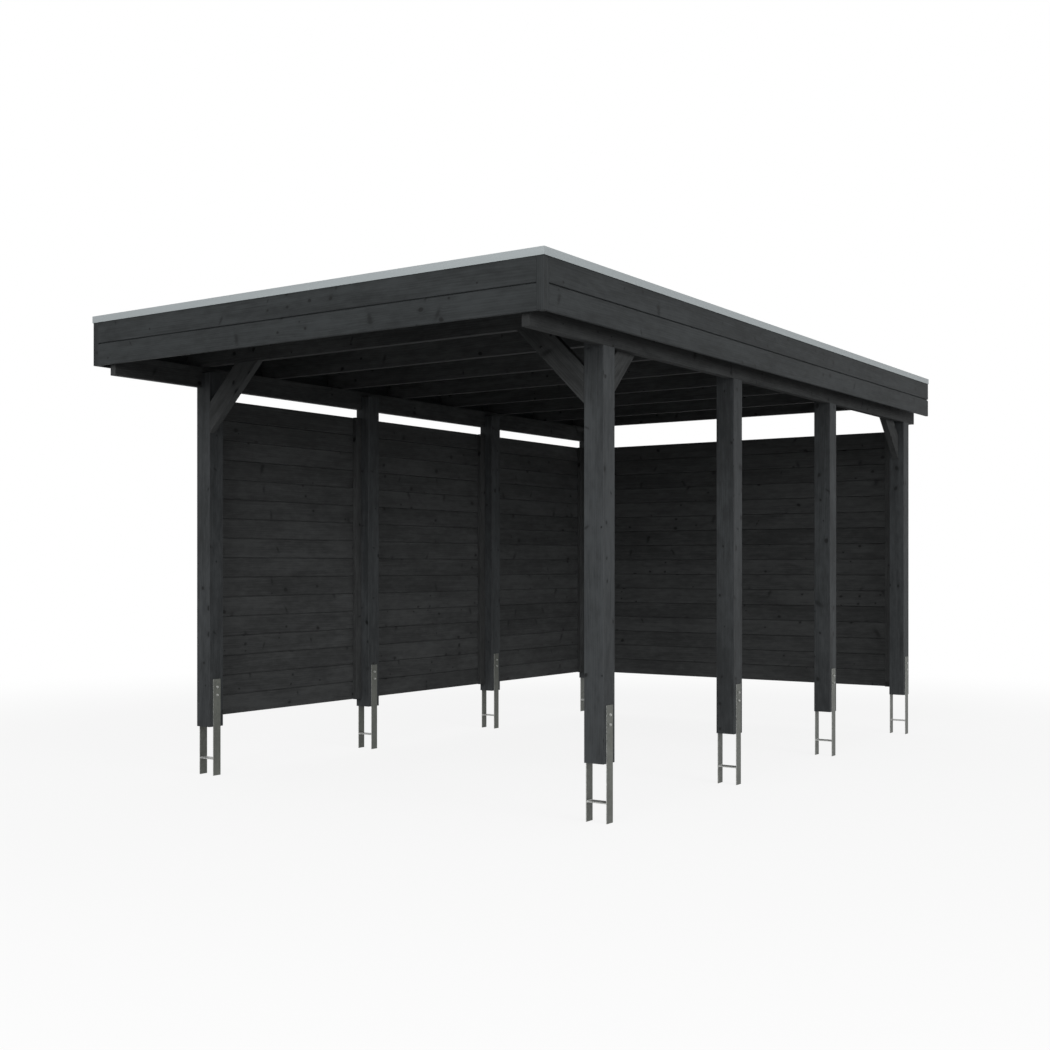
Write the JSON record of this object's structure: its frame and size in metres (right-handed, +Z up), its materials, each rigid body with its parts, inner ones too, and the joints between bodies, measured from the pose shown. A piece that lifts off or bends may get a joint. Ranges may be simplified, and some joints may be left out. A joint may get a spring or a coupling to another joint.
{
  "type": "carport",
  "caption": "Open timber carport with a flat roof on square posts, boarded along one side and across the back, standing on steel anchors.",
  "frame": {"origin": "on the ground, in the middle under the roof", "axes": "+X to the right along the open front, +Y from the front to the back, +Z up"},
  "size_m": [3.158, 5.54, 2.767],
  "materials": {
    "post_wood": "slate grey glazed spruce",
    "frame_wood": "slate grey glazed spruce",
    "fascia_wood": "slate grey glazed spruce",
    "wall_wood": "slate grey glazed spruce",
    "deck_wood": "slate grey glazed spruce",
    "anchor_steel": "dull galvanised",
    "edge_metal": "satin",
    "roof_sheet": "matt membrane"
  },
  "bodies": {
    "root": {"post_left_1": "post_wood", "post_left_2": "post_wood", "post_left_3": "post_wood", "post_left_4": "post_wood", "post_right_1": "post_wood", "post_right_2": "post_wood", "post_right_3": "post_wood", "post_right_4": "post_wood", "anchor_left_1": "anchor_steel", "anchor_left_2": "anchor_steel", "anchor_left_3": "anchor_steel", "anchor_left_4": "anchor_steel", "anchor_right_1": "anchor_steel", "anchor_right_2": "anchor_steel", "anchor_right_3": "anchor_steel", "anchor_right_4": "anchor_steel", "purlin_left": "frame_wood", "purlin_right": "frame_wood", "brace_front_left": "frame_wood", "brace_front_right": "frame_wood", "brace_side_front": "frame_wood", "brace_side_rear": "frame_wood", "rafter_1": "frame_wood", "rafter_2": "frame_wood", "rafter_3": "frame_wood", "rafter_4": "frame_wood", "rafter_5": "frame_wood", "rafter_6": "frame_wood", "rafter_7": "frame_wood", "rafter_8": "frame_wood", "rim_front": "frame_wood", "rim_rear": "frame_wood", "roof_deck": "deck_wood", "roof_sheet": "roof_sheet", "fascia_front": "fascia_wood", "fascia_right": "fascia_wood", "fascia_rear": "fascia_wood", "fascia_left": "fascia_wood", "fascia_corners": "fascia_wood", "trim_front": "edge_metal", "trim_right": "edge_metal", "trim_rear": "edge_metal", "trim_left": "edge_metal", "wall_left_1": "wall_wood", "wall_left_2": "wall_wood", "wall_left_3": "wall_wood", "wall_back": "wall_wood", "cleats_left": "wall_wood", "cleats_back": "wall_wood"}
  },
  "joints": []
}
